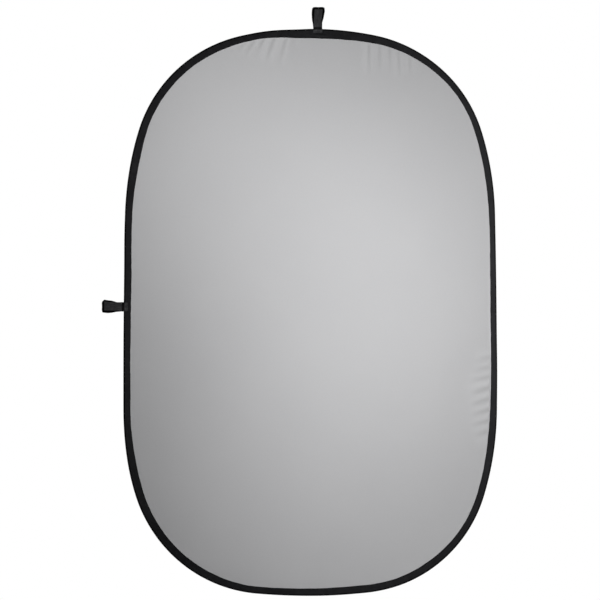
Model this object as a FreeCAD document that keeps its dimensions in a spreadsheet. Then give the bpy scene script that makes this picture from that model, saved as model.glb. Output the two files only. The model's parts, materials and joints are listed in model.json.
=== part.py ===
import FreeCAD, Part

import math
import os

import Sketcher

# Collapsible background panel: two layers of cloth held flat by a sprung steel strip, which runs
# round the rim inside a sewn binding, with one webbing loop at the top and one at the left.
#
# Row frame: the origin is the seat inside the top loop, +Z up, -Y towards the grey front.
# Panel frame: the same axes, with the origin at the panel's mid height and mid thickness.
# Loop frame: the origin is the middle of the stitched neck, +Z towards the loop's free end.

SIZES = {
    # Outline, in the panel frame: nearly straight sides, widest below mid height.
    "panel_height": 1800,
    "panel_width": 1186,
    "waist_drop": 222,
    "top_radius": 1047,
    "shoulder_radius": 445,
    "flank_radius": 954,
    "side_radius": 23800,
    "foot_radius": 437,
    "bottom_radius": 1990,
    "high_flank_height": 292,
    "low_flank_drop": 306,
    # Binding: a folded tape, round at the rim and closing to a flat lip on the cloth.
    "binding_width": 22,
    "binding_radius": 4,
    "binding_lip": 1.6,
    "binding_wall": 0.85,
    # Spring strip, and the crimped sleeve that joins its two ends at the bottom.
    "strip_depth": 5,
    "strip_thickness": 1.2,
    "strip_end_gap": 1,
    "sleeve_length": 36,
    "sleeve_bore_depth": 5.12,
    "sleeve_bore_thickness": 1.5,
    "sleeve_wall": 0.3,
    # Cloths: two layers, their edges inside the binding.
    "cloth_thickness": 0.4,
    "cloth_spacing": 0.3,
    "cloth_inset": 8,
    # Lockstitch along the binding's lip.
    "seam_inset": 19.5,
    "seam_width": 0.8,
    "seam_rise": 0.35,
    "seam_clearance": 0.02,
    # Fold lines: the panel bends double about its mid height.
    "fold_offset": 150,
    "fold_gap": 0.6,
    # Hanging loops, of flat webbing.
    "top_loop_offset": 25,
    "side_loop_height": 18,
    "web_width": 40,
    "web_thickness": 1.5,
    "neck_width": 28,
    "neck_rise": 6.2,
    "neck_radius": 1.75,
    "eye_radius": 6,
    "eye_reach": 57.3,
    "shoulder_reach": 34,
    # Sewn tail of a loop, which straddles the rim; depths are measured inwards from the rim.
    "tail_reach": 14,
    "tail_foot": 2.8,
    "tail_hip": 4.3,
    "tail_hip_depth": 2.5,
    "tail_peak": 2.5,
    "tail_top": 4.2,
    "tail_top_half": 1.3,
    # Bar of stitches across a tail.
    "tack_width": 24,
    "tack_depth": 9.6,
    "tack_length": 2.6,
    "tack_rise": 0.4,
    # Room round the panel in the boxes that cut the rim at the fold lines.
    "zone_margin": 60,
    "zone_depth": 60,
}

HALF_HEIGHT = "(Sizes.panel_height / 2)"
HALF_WIDTH = "(Sizes.panel_width / 2)"
EYE_SEAT = "(Sizes.eye_reach + Sizes.eye_radius)"
RIM_ABOVE_TOP_LOOP = (
    f"({HALF_HEIGHT} - Sizes.top_radius + sqrt(Sizes.top_radius ^ 2 - Sizes.top_loop_offset ^ 2))"
)
RIM_BESIDE_SIDE_LOOP = (
    f"({HALF_WIDTH} - Sizes.side_radius"
    " + sqrt(Sizes.side_radius ^ 2 - (Sizes.side_loop_height + Sizes.waist_drop) ^ 2))"
)
PANEL_X = "(-Sizes.top_loop_offset)"
PANEL_Z = f"(-{EYE_SEAT} - Sizes.neck_rise - {RIM_ABOVE_TOP_LOOP})"
SIDE_NECK_X = f"({PANEL_X} - {RIM_BESIDE_SIDE_LOOP} - Sizes.neck_rise)"
SIDE_NECK_Z = f"({PANEL_Z} + Sizes.side_loop_height)"

START, END, CENTRE = 1, 2, 3
ORIGIN = (-1, 1)
VERTICAL_AXIS = -2

doc = FreeCAD.newDocument("CollapsiblePanel")
sheet = doc.addObject("Spreadsheet::Sheet", "Sizes")
for row, (alias, size) in enumerate(SIZES.items(), start=1):
    sheet.set(f"A{row}", alias)
    sheet.set(f"B{row}", str(size))
    sheet.setAlias(f"B{row}", alias)
doc.recompute()


def value(expression):
    """The number that an expression on the sheet gives now."""
    return float(sheet.evalExpression(expression))


def new_body(name):
    body = doc.addObject("PartDesign::Body", name)
    body.Label = name
    return body


def new_sketch(body, name, role):
    """A sketch on one of the body's own origin planes."""
    sketch = body.newObject("Sketcher::SketchObject", name)
    plane = next(p for p in body.Origin.OriginFeatures if p.Role == role)
    sketch.AttachmentSupport = [(plane, "")]
    sketch.MapMode = "FlatFace"
    return sketch


def hold(sketch, kind, *geometry, size):
    """Add a dimension and bind it to an expression."""
    index = sketch.addConstraint(Sketcher.Constraint(kind, *geometry, value(size)))
    sketch.setExpression(f"Constraints[{index}]", size)


def hold_point(sketch, geometry, end, across, up):
    """Hold a point at two expressions, measured from the sketch's origin."""
    hold(sketch, "DistanceX", *ORIGIN, geometry, end, size=across)
    hold(sketch, "DistanceY", *ORIGIN, geometry, end, size=up)


def draw_polygon(sketch, corners):
    """A closed polygon with every corner held at a pair of expressions."""
    points = [FreeCAD.Vector(value(across), value(up), 0) for across, up in corners]
    first = sketch.GeometryCount
    for here, there in zip(points, points[1:] + points[:1]):
        sketch.addGeometry(Part.LineSegment(here, there), False)
    for step, (across, up) in enumerate(corners):
        side = first + step
        before = first + (step - 1) % len(corners)
        sketch.addConstraint(Sketcher.Constraint("Coincident", before, END, side, START))
        hold_point(sketch, side, START, across, up)


def arc(centre, radius, start, end):
    circle = Part.Circle(FreeCAD.Vector(centre[0], centre[1], 0), FreeCAD.Vector(0, 0, 1), radius)
    return Part.ArcOfCircle(circle, start, end)


def inner_arc_centre(cap, side, radius, vertical):
    """Centre of the arc that touches two larger arcs from inside.

    Each larger arc is (centre across, centre up, radius). vertical is 1 for the centre above
    the line through theirs, and -1 for the one below.
    """
    reach_cap = cap[2] - radius
    reach_side = side[2] - radius
    across = side[0] - cap[0]
    up = side[1] - cap[1]
    apart = math.hypot(across, up)
    along = (reach_cap**2 - reach_side**2 + apart**2) / (2 * apart)
    off = math.sqrt(reach_cap**2 - along**2)
    centres = []
    for turn in (off, -off):
        x = cap[0] + (across * along - up * turn) / apart
        z = cap[1] + (up * along + across * turn) / apart
        centres.append((x, z))
    return max(centres, key=lambda centre: centre[0] + vertical * centre[1])


def bearing(here, there):
    return math.atan2(there[1] - here[1], there[0] - here[0])


def flank_centre(side, radius, height):
    """Centre, at a given height, of the arc that touches the side's arc from inside."""
    rise = height - side[1]
    return (side[0] + math.sqrt((side[2] - radius) ** 2 - rise**2), height)


def outline_arcs(inset):
    """The outline's arcs at a depth inside the rim, anticlockwise from the top's middle."""
    top = (0, value(f"{HALF_HEIGHT} - Sizes.top_radius"), value("Sizes.top_radius"))
    bottom = (0, value(f"Sizes.bottom_radius - {HALF_HEIGHT}"), value("Sizes.bottom_radius"))
    side = (
        value(f"{HALF_WIDTH} - Sizes.side_radius"),
        value("-Sizes.waist_drop"),
        value("Sizes.side_radius"),
    )
    flank_radius = value("Sizes.flank_radius")
    shoulder_radius = value("Sizes.shoulder_radius")
    foot_radius = value("Sizes.foot_radius")
    high_centre = flank_centre(side, flank_radius, value("Sizes.high_flank_height"))
    low_centre = flank_centre(side, flank_radius, value("-Sizes.low_flank_drop"))
    high_flank = (*high_centre, flank_radius)
    low_flank = (*low_centre, flank_radius)
    shoulder = (*inner_arc_centre(top, high_flank, shoulder_radius, 1), shoulder_radius)
    foot = (*inner_arc_centre(bottom, low_flank, foot_radius, -1), foot_radius)
    downwards = (top, shoulder, high_flank, side, low_flank, foot, bottom)
    turns = [
        bearing(top, shoulder),
        bearing(high_flank, shoulder),
        bearing(side, high_flank),
        bearing(side, low_flank),
        bearing(low_flank, foot),
        bearing(bottom, foot),
    ]
    half_turn = math.pi
    left_turns = [half_turn - turn for turn in turns]
    left_starts = [half_turn / 2] + left_turns
    left_ends = left_turns + [2 * half_turn + turns[-1]]
    right_starts = turns[::-1]
    right_ends = turns[-2::-1] + [half_turn / 2]
    arcs = []
    for (across, up, radius), start, end in zip(downwards, left_starts, left_ends):
        arcs.append(arc((-across, up), radius - inset, start, end))
    for (across, up, radius), start, end in zip(downwards[-2::-1], right_starts, right_ends):
        arcs.append(arc((across, up), radius - inset, start, end))
    return arcs


def draw_outline(sketch, inset):
    """The panel's outline, moved inwards by an expression, fully constrained."""
    arcs = outline_arcs(value(inset))
    for piece in arcs:
        sketch.addGeometry(piece, False)
    top_left, shoulder_left, high_flank_left, side_left, low_flank_left, foot_left = range(6)
    bottom, foot_right, low_flank_right, side_right, high_flank_right = range(6, 11)
    shoulder_right, top_right = range(11, 13)
    for here in range(len(arcs) - 1):
        sketch.addConstraint(Sketcher.Constraint("Tangent", here, END, here + 1, START))
    sketch.addConstraint(Sketcher.Constraint("Coincident", top_right, END, top_left, START))
    sketch.addConstraint(Sketcher.Constraint("Coincident", top_right, CENTRE, top_left, CENTRE))
    sketch.addConstraint(Sketcher.Constraint("PointOnObject", top_left, START, VERTICAL_AXIS))
    radii = {
        top_left: "Sizes.top_radius",
        shoulder_left: "Sizes.shoulder_radius",
        shoulder_right: "Sizes.shoulder_radius",
        high_flank_left: "Sizes.flank_radius",
        high_flank_right: "Sizes.flank_radius",
        side_left: "Sizes.side_radius",
        side_right: "Sizes.side_radius",
        low_flank_left: "Sizes.flank_radius",
        low_flank_right: "Sizes.flank_radius",
        foot_left: "Sizes.foot_radius",
        foot_right: "Sizes.foot_radius",
        bottom: "Sizes.bottom_radius",
    }
    for piece, radius in radii.items():
        hold(sketch, "Radius", piece, size=f"{radius} - {inset}")
    hold_point(sketch, top_left, CENTRE, "0", f"{HALF_HEIGHT} - Sizes.top_radius")
    hold_point(sketch, bottom, CENTRE, "0", f"Sizes.bottom_radius - {HALF_HEIGHT}")
    side_centre = f"{HALF_WIDTH} - Sizes.side_radius"
    hold_point(sketch, side_right, CENTRE, side_centre, "-Sizes.waist_drop")
    hold_point(sketch, side_left, CENTRE, f"-({side_centre})", "-Sizes.waist_drop")
    for flank in (high_flank_left, high_flank_right):
        hold(sketch, "DistanceY", *ORIGIN, flank, CENTRE, size="Sizes.high_flank_height")
    for flank in (low_flank_left, low_flank_right):
        hold(sketch, "DistanceY", *ORIGIN, flank, CENTRE, size="-Sizes.low_flank_drop")
    return len(arcs)


def draw_teardrop(sketch, neck_radius, end_radius, reach):
    """Two arcs on the vertical axis, joined by the straight lines that touch both."""
    neck = value(neck_radius)
    end = value(end_radius)
    length = value(reach)
    lean = math.asin((end - neck) / length)
    end_arc = arc((0, length), end, -lean, math.pi + lean)
    neck_arc = arc((0, 0), neck, math.pi + lean, 2 * math.pi - lean)
    left = Part.LineSegment(end_arc.EndPoint, neck_arc.StartPoint)
    right = Part.LineSegment(neck_arc.EndPoint, end_arc.StartPoint)
    first = sketch.GeometryCount
    for piece in (end_arc, left, neck_arc, right):
        sketch.addGeometry(piece, False)
    end_index, left_index, neck_index, right_index = range(first, first + 4)
    ring = (end_index, left_index, neck_index, right_index, end_index)
    for here, there in zip(ring, ring[1:]):
        sketch.addConstraint(Sketcher.Constraint("Tangent", here, END, there, START))
    hold_point(sketch, end_index, CENTRE, "0", reach)
    hold_point(sketch, neck_index, CENTRE, "0", "0")
    hold(sketch, "Radius", end_index, size=end_radius)
    hold(sketch, "Radius", neck_index, size=neck_radius)


def pad(body, name, sketch, length, midplane=False):
    feature = body.newObject("PartDesign::Pad", name)
    feature.Profile = sketch
    feature.Midplane = midplane
    feature.setExpression("Length", length)
    return feature


def place(node, across, up):
    """Bind a node's place in the row frame."""
    node.setExpression("Placement.Base.x", across)
    node.setExpression("Placement.Base.z", up)


def place_in_panel(node):
    place(node, PANEL_X, PANEL_Z)


def place_at_top_neck(node):
    place(node, "0", f"-{EYE_SEAT}")


def place_at_side_neck(node):
    """Turn a loop to point left, and put its neck beside the left rim."""
    node.Placement.Rotation = FreeCAD.Rotation(FreeCAD.Vector(0, 1, 0), -90)
    place(node, SIDE_NECK_X, SIDE_NECK_Z)


def down_from_top(inset):
    """Height, in the panel frame, of a depth inside the rim at the top's middle."""
    return f"{HALF_HEIGHT} - ({inset})"


def binding_face(inset):
    """Half thickness of the binding's outer face at a depth inside the rim."""
    slope = "(Sizes.binding_radius - Sizes.binding_lip) / (Sizes.binding_width - Sizes.binding_radius)"
    return f"(Sizes.binding_lip + (Sizes.binding_width - ({inset})) * {slope})"


def sweep_round_rim(body, profile, name):
    """Carry a section at the top's middle right round the panel's outline."""
    spine = new_sketch(body, f"{name}_path", "XZ_Plane")
    arc_count = draw_outline(spine, "0")
    sweep = body.newObject("PartDesign::AdditivePipe", f"{name}_sweep")
    sweep.Profile = (profile, [""])
    sweep.Spine = (spine, [f"Edge{edge}" for edge in range(1, arc_count + 1)])


def binding_ring():
    """The whole binding: a round-backed channel that closes towards its lip."""
    body = new_body("binding_ring")
    sketch = new_sketch(body, "binding_section", "YZ_Plane")
    radius = value("Sizes.binding_radius")
    bore = value("Sizes.binding_radius - Sizes.binding_wall")
    lip = value("Sizes.binding_lip")
    lip_bore = value("Sizes.binding_lip - Sizes.binding_wall")
    back_height = value(down_from_top("Sizes.binding_radius"))
    lip_height = value(down_from_top("Sizes.binding_width"))
    outer = arc((0, back_height), radius, 0, math.pi)
    inner = arc((0, back_height), bore, 0, math.pi)
    corners = [
        (-radius, back_height),
        (-lip, lip_height),
        (-lip_bore, lip_height),
        (-bore, back_height),
        (bore, back_height),
        (lip_bore, lip_height),
        (lip, lip_height),
        (radius, back_height),
    ]
    points = [FreeCAD.Vector(across, up, 0) for across, up in corners]
    left_lines = [Part.LineSegment(points[step], points[step + 1]) for step in range(3)]
    right_lines = [Part.LineSegment(points[step], points[step + 1]) for step in range(4, 7)]
    for piece in [outer] + left_lines + [inner] + right_lines:
        sketch.addGeometry(piece, False)
    outer_arc, left_face, left_lip, left_bore = range(4)
    inner_arc, right_bore, right_lip, right_face = range(4, 8)
    joins = (
        (outer_arc, END, left_face, START),
        (left_face, END, left_lip, START),
        (left_lip, END, left_bore, START),
        (left_bore, END, inner_arc, END),
        (inner_arc, START, right_bore, START),
        (right_bore, END, right_lip, START),
        (right_lip, END, right_face, START),
        (right_face, END, outer_arc, START),
    )
    for join in joins:
        sketch.addConstraint(Sketcher.Constraint("Coincident", *join))
    back_level = down_from_top("Sizes.binding_radius")
    lip_level = down_from_top("Sizes.binding_width")
    for curve, size in (
        (outer_arc, "Sizes.binding_radius"),
        (inner_arc, "(Sizes.binding_radius - Sizes.binding_wall)"),
    ):
        hold_point(sketch, curve, CENTRE, "0", back_level)
        hold_point(sketch, curve, START, size, back_level)
        hold(sketch, "DistanceY", *ORIGIN, curve, END, size=back_level)
    lip_bore_size = "(Sizes.binding_lip - Sizes.binding_wall)"
    hold_point(sketch, left_lip, START, "-Sizes.binding_lip", lip_level)
    hold_point(sketch, left_lip, END, f"-{lip_bore_size}", lip_level)
    hold_point(sketch, right_lip, START, lip_bore_size, lip_level)
    hold_point(sketch, right_lip, END, "Sizes.binding_lip", lip_level)
    sweep_round_rim(body, sketch, "binding")
    return body


def strip_ring():
    """The sprung steel strip, on edge at the centre of the binding's round back."""
    body = new_body("strip_ring")
    sketch = new_sketch(body, "strip_section", "YZ_Plane")
    outer = down_from_top("Sizes.binding_radius - Sizes.strip_thickness / 2")
    inner = down_from_top("Sizes.binding_radius + Sizes.strip_thickness / 2")
    edge = "Sizes.strip_depth / 2"
    draw_polygon(
        sketch, [(f"-{edge}", outer), (f"-{edge}", inner), (edge, inner), (edge, outer)]
    )
    sweep_round_rim(body, sketch, "strip")
    return body


def seam_ring(name, side):
    """A line of thread on one face of the binding's lip; side is -1 at the front, 1 at the back."""
    body = new_body(name)
    sketch = new_sketch(body, f"{name}_section", "YZ_Plane")
    rim_edge = "(Sizes.seam_inset - Sizes.seam_width / 2)"
    lip_edge = "(Sizes.seam_inset + Sizes.seam_width / 2)"

    def off_face(inset, rise):
        return f"{side} * ({binding_face(inset)} + Sizes.seam_clearance + {rise})"

    draw_polygon(
        sketch,
        [
            (off_face(rim_edge, "0"), down_from_top(rim_edge)),
            (off_face(lip_edge, "0"), down_from_top(lip_edge)),
            (off_face(lip_edge, "Sizes.seam_rise"), down_from_top(lip_edge)),
            (off_face(rim_edge, "Sizes.seam_rise"), down_from_top(rim_edge)),
        ],
    )
    sweep_round_rim(body, sketch, name)
    return body


def cloth_sheet(name, side):
    """A whole layer of cloth; side is -1 for the grey front and 1 for the back."""
    body = new_body(name)
    sketch = new_sketch(body, f"{name}_outline", "XZ_Plane")
    near = "Sizes.cloth_spacing / 2"
    lift = near if side < 0 else f"-({near} + Sizes.cloth_thickness)"
    sketch.setExpression("AttachmentOffset.Base.z", lift)
    draw_outline(sketch, "Sizes.cloth_inset")
    pad(body, f"{name}_pad", sketch, "Sizes.cloth_thickness")
    return body


def splice_sleeve():
    """The crimped sleeve round the strip's two ends."""
    body = new_body("splice_sleeve")
    sketch = new_sketch(body, "sleeve_section", "YZ_Plane")
    middle = f"(Sizes.binding_radius - {HALF_HEIGHT})"
    for wall in ("Sizes.sleeve_wall", "0"):
        half_depth = f"(Sizes.sleeve_bore_depth / 2 + {wall})"
        half_thickness = f"(Sizes.sleeve_bore_thickness / 2 + {wall})"
        low = f"{middle} - {half_thickness}"
        high = f"{middle} + {half_thickness}"
        draw_polygon(
            sketch,
            [
                (f"-{half_depth}", low),
                (half_depth, low),
                (half_depth, high),
                (f"-{half_depth}", high),
            ],
        )
    pad(body, "sleeve_pad", sketch, "Sizes.sleeve_length", midplane=True)
    place_in_panel(body)
    return body


def zone(name, left, right, bottom, top):
    """A box that keeps the stretch of rim or cloth between four limits of the panel frame."""
    box = doc.addObject("Part::Box", name)
    box.setExpression("Length", f"({right}) - ({left})")
    box.setExpression("Width", "Sizes.zone_depth")
    box.setExpression("Height", f"({top}) - ({bottom})")
    box.setExpression("Placement.Base.x", left)
    box.setExpression("Placement.Base.y", "-Sizes.zone_depth / 2")
    box.setExpression("Placement.Base.z", bottom)
    return box


def common(name, base, tool):
    node = doc.addObject("Part::Common", name)
    node.Label = name
    node.Base = base
    node.Tool = tool
    return node


def loop_eye(prefix):
    """The free part of a loop: webbing doubled into an eye, drawn in towards its neck."""
    web = new_body(f"{prefix}_web")
    side_view = new_sketch(web, f"{prefix}_side_view", "YZ_Plane")
    end_radius = "(Sizes.eye_radius + Sizes.web_thickness)"
    neck_bore = "(Sizes.neck_radius - Sizes.web_thickness)"
    draw_teardrop(side_view, "Sizes.neck_radius", end_radius, "Sizes.eye_reach")
    draw_teardrop(side_view, neck_bore, "Sizes.eye_radius", "Sizes.eye_reach")
    pad(web, f"{prefix}_web_pad", side_view, "Sizes.web_width", midplane=True)

    trim = new_body(f"{prefix}_trim")
    front_view = new_sketch(trim, f"{prefix}_front_view", "XZ_Plane")
    front_view.setExpression("AttachmentOffset.Base.z", "-Sizes.zone_depth / 2")
    foot = "-2 * Sizes.neck_radius"
    tip = "Sizes.eye_reach + 2 * Sizes.eye_radius"
    half_neck = "Sizes.neck_width / 2"
    half_web = "Sizes.web_width / 2"
    draw_polygon(
        front_view,
        [
            (f"-{half_neck}", foot),
            (half_neck, foot),
            (half_neck, "Sizes.neck_radius"),
            (half_web, "Sizes.shoulder_reach"),
            (half_web, tip),
            (f"-{half_web}", tip),
            (f"-{half_web}", "Sizes.shoulder_reach"),
            (f"-{half_neck}", "Sizes.neck_radius"),
        ],
    )
    pad(trim, f"{prefix}_trim_pad", front_view, "Sizes.zone_depth")
    return common(f"{prefix}_hanging_loop", web, trim)


def loop_tail(prefix):
    """The sewn part of a loop: its two ends straddle the rim and meet under the neck."""
    body = new_body(f"{prefix}_loop_tail")
    sketch = new_sketch(body, f"{prefix}_tail_section", "YZ_Plane")
    right_half = [
        ("Sizes.tail_foot", "Sizes.tail_reach"),
        ("(Sizes.tail_foot + Sizes.web_thickness)", "Sizes.tail_reach"),
        ("(Sizes.tail_hip + Sizes.web_thickness)", "Sizes.tail_hip_depth"),
        ("Sizes.tail_top_half", "-Sizes.tail_top"),
    ]
    left_half = [(f"-{across}", depth) for across, depth in reversed(right_half)]
    left_hip = ("-Sizes.tail_hip", "Sizes.tail_hip_depth")
    peak = ("0", "-Sizes.tail_peak")
    right_hip = ("Sizes.tail_hip", "Sizes.tail_hip_depth")
    corners = right_half + left_half + [left_hip, peak, right_hip]
    draw_polygon(
        sketch, [(across, f"-Sizes.neck_rise - ({depth})") for across, depth in corners]
    )
    pad(body, f"{prefix}_tail_pad", sketch, "Sizes.neck_width", midplane=True)
    return body


def loop_tack(name, side):
    """A bar of stitches across one face of a tail; side is -1 at the front, 1 at the back."""
    body = new_body(name)
    sketch = new_sketch(body, f"{name}_section", "YZ_Plane")
    slope = (
        "((Sizes.tail_hip - Sizes.tail_foot) / (Sizes.tail_reach - Sizes.tail_hip_depth))"
    )
    near = "Sizes.tack_depth"
    far = "(Sizes.tack_depth + Sizes.tack_length)"

    def off_face(depth, rise):
        face = f"Sizes.tail_foot + Sizes.web_thickness + (Sizes.tail_reach - {depth}) * {slope}"
        return f"{side} * ({face} + Sizes.seam_clearance + {rise})"

    draw_polygon(
        sketch,
        [
            (off_face(near, "0"), f"-Sizes.neck_rise - {near}"),
            (off_face(near, "Sizes.tack_rise"), f"-Sizes.neck_rise - {near}"),
            (off_face(far, "Sizes.tack_rise"), f"-Sizes.neck_rise - {far}"),
            (off_face(far, "0"), f"-Sizes.neck_rise - {far}"),
        ],
    )
    pad(body, f"{name}_pad", sketch, "Sizes.tack_width", midplane=True)
    return body


def make_zones():
    """The stretches of the panel between its fold lines, and the halves of each."""
    far_x = f"{HALF_WIDTH} + Sizes.zone_margin"
    far_z = f"{HALF_HEIGHT} + Sizes.zone_margin"
    half_fold_gap = "Sizes.fold_gap / 2"
    half_end_gap = "Sizes.strip_end_gap / 2"
    upper_fold = "Sizes.fold_offset"
    middle_top = f"{upper_fold} - {half_fold_gap}"
    middle_foot = f"-{upper_fold} + {half_fold_gap}"
    upper_foot = f"{upper_fold} + {half_fold_gap}"
    lower_top = f"-{upper_fold} - {half_fold_gap}"
    left_far = f"-({far_x})"
    low_far = f"-({far_z})"
    limits = {
        "upper": (left_far, far_x, upper_foot, far_z),
        "middle": (left_far, far_x, middle_foot, middle_top),
        "left": (left_far, "0", middle_foot, middle_top),
        "right": ("0", far_x, middle_foot, middle_top),
        "lower": (left_far, far_x, low_far, lower_top),
        "lower_left": (left_far, f"-{half_end_gap}", low_far, lower_top),
        "lower_right": (half_end_gap, far_x, low_far, lower_top),
    }
    return {name: zone(f"{name}_zone", *edges) for name, edges in limits.items()}


def cut_into_zones(prefix, whole, zones, names):
    """One node for each named zone's share of a piece that runs across the fold lines."""
    nodes = []
    for name in names:
        node = common(f"{prefix}_{name}", whole, zones[name])
        place_in_panel(node)
        nodes.append(node)
    return nodes


def make_loop(prefix, place_at_neck):
    """A hanging loop: its free eye, its sewn tail and the two bars of stitches."""
    nodes = [
        loop_eye(prefix),
        loop_tail(prefix),
        loop_tack(f"{prefix}_loop_front_tack", -1),
        loop_tack(f"{prefix}_loop_back_tack", 1),
    ]
    for node in nodes:
        place_at_neck(node)
    return nodes


RIM_ZONES = ("upper", "left", "right", "lower")
STRIP_ZONES = ("upper", "left", "right", "lower_left", "lower_right")
CLOTH_ZONES = ("upper", "middle", "lower")

zones = make_zones()
nodes = []
nodes += cut_into_zones("spring_strip", strip_ring(), zones, STRIP_ZONES)
nodes += [splice_sleeve()]
nodes += cut_into_zones("binding", binding_ring(), zones, RIM_ZONES)
nodes += cut_into_zones("front_cloth", cloth_sheet("front_sheet", -1), zones, CLOTH_ZONES)
nodes += cut_into_zones("back_cloth", cloth_sheet("back_sheet", 1), zones, CLOTH_ZONES)
nodes += cut_into_zones("front_seam", seam_ring("front_thread", -1), zones, RIM_ZONES)
nodes += cut_into_zones("back_seam", seam_ring("back_thread", 1), zones, RIM_ZONES)
nodes += make_loop("top", place_at_top_neck)
nodes += make_loop("side", place_at_side_neck)
doc.recompute()

problems = [
    f"{item.Label} is {', '.join(item.State)}"
    for item in doc.Objects
    if "Invalid" in item.State or "Error" in item.State
]
for sketch in doc.findObjects("Sketcher::SketchObject"):
    if sketch.solve() != 0:
        problems.append(f"{sketch.Label} does not solve")
for node in nodes:
    shape = node.Shape
    if shape.isNull() or not shape.isValid() or len(shape.Solids) != 1:
        problems.append(f"{node.Label} is not one valid solid")
if problems:
    raise RuntimeError("; ".join(problems))

os.makedirs("parts", exist_ok=True)
for node in nodes:
    node.Shape.exportStep(f"parts/{node.Label}.step")
print(f"{len(nodes)} sub-parts written")
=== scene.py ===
import json
import math

import bmesh
import bpy
import numpy as np
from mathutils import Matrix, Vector


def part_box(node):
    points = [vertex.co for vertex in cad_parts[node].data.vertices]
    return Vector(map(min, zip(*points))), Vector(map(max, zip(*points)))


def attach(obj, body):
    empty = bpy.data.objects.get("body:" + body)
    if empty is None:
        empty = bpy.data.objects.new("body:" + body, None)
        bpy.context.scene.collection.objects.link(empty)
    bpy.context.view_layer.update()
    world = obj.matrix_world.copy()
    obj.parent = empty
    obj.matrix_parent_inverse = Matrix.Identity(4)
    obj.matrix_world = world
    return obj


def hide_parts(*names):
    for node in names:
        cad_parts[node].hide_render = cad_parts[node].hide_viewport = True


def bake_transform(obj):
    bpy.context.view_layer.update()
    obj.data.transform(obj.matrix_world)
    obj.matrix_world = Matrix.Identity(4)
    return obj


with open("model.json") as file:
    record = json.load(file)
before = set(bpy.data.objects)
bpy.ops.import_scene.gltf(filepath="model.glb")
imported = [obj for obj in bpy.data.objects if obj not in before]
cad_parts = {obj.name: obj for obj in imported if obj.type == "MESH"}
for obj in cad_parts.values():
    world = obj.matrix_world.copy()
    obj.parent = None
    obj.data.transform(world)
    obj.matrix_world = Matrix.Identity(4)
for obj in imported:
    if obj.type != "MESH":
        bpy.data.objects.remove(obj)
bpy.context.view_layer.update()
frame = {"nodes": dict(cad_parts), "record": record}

# Lengths are in metres, in the CAD's row frame: +Z up, -Y out of the grey front.
# "Panel" places are measured from the panel's mid height and mid thickness.
MM = 0.001


# ------------ places from the CAD frame

joints = {joint["name"]: joint for joint in frame["record"]["behaviour"]["joints"]}
upper_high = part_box("binding_upper")[1]
lower_low, lower_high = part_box("binding_lower")
left_strip_low, left_strip_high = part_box("spring_strip_left")
lower_strip_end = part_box("spring_strip_lower_left")[1][0]
lower_strip_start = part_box("spring_strip_lower_right")[0][0]
PANEL_TOP = upper_high[2]
PANEL_FOOT = lower_low[2]
HALF_HEIGHT = (PANEL_TOP - PANEL_FOOT) / 2
HALF_WIDTH = (lower_high[0] - lower_low[0]) / 2
PANEL_MIDDLE = np.array([(lower_high[0] + lower_low[0]) / 2, 0.0, (PANEL_TOP + PANEL_FOOT) / 2])
TOP_NECK = np.array(joints["top_loop_swing"]["pos_m"])
SIDE_NECK = np.array(joints["side_loop_swing"]["pos_m"])
STRIP_DEPTH = left_strip_high[1] - left_strip_low[1]
STRIP_END_GAP = lower_strip_start - lower_strip_end
STRIP_THICKNESS = 1.2 * MM
# How far inside the rim the strip's middle and the cloth's cut edge lie.
STRIP_INSET = 4 * MM
CLOTH_INSET = 8 * MM

# The outline's arcs from the top down one side, and how far above or below the panel's middle the
# centres of the side's and the flanks' arcs lie.
TOP_RADIUS = 1047 * MM
SHOULDER_RADIUS = 445 * MM
FLANK_RADIUS = 954 * MM
SIDE_RADIUS = 23800 * MM
FOOT_RADIUS = 437 * MM
BOTTOM_RADIUS = 1990 * MM
WAIST_DROP = 222 * MM
HIGH_FLANK_HEIGHT = 292 * MM
LOW_FLANK_DROP = 306 * MM


# ------------ outline

def inner_centre(cap, side, radius, vertical):
    """Centre of the arc that touches two larger arcs, given as (x, z, radius), from inside."""
    reach_cap = cap[2] - radius
    reach_side = side[2] - radius
    across = side[0] - cap[0]
    up = side[1] - cap[1]
    apart = math.hypot(across, up)
    along = (reach_cap**2 - reach_side**2 + apart**2) / (2 * apart)
    off = math.sqrt(reach_cap**2 - along**2)
    centres = []
    for turn in (off, -off):
        x = cap[0] + (across * along - up * turn) / apart
        z = cap[1] + (up * along + across * turn) / apart
        centres.append((x, z))
    return max(centres, key=lambda centre: centre[0] + vertical * centre[1])


def bearing(here, there):
    """Direction, in radians, from one place (x, z) to another."""
    return math.atan2(there[1] - here[1], there[0] - here[0])


# The hoop is not quite even. Each row is a bearing from the panel's middle in degrees, how many
# millimetres the rim stands out there, and how many degrees the swell spreads.
SWELLS = [
    (117, 2.1, 17), (157, 1.3, 7), (-137, 2.2, 8), (-78, -1.9, 7), (66, -1.1, 10), (-18, 1.0, 8),
    (92.3, -1.4, 3), (99, 1.2, 3.5),
]
# The hoop is true at the loops and the splice: bearing and spread in degrees.
HELD_TRUE = [(88.4, 2.4), (178.4, 5), (-91.6, 6)]


def bearings_of(points):
    """Bearings in degrees of points (x, z) from the panel's middle."""
    return np.degrees(np.arctan2(points[:, 1], points[:, 0]))


def turn_between(bearings, centre):
    """Degrees from a bearing, the short way round."""
    return (bearings - centre + 180) % 360 - 180


def hump(away, reach, power=2):
    """A smooth hump, 1 where away is 0, falling to about a third at the reach."""
    return np.exp(-((away / reach) ** power))


def swell(points):
    """How far the uneven hoop stands out from the even outline at points on it."""
    bearings = bearings_of(points)
    out = np.zeros(len(points))
    for centre, rise, spread in SWELLS:
        out += rise * MM * hump(turn_between(bearings, centre), spread)
    for centre, spread in HELD_TRUE:
        out *= 1 - hump(turn_between(bearings, centre), spread)
    return out


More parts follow.
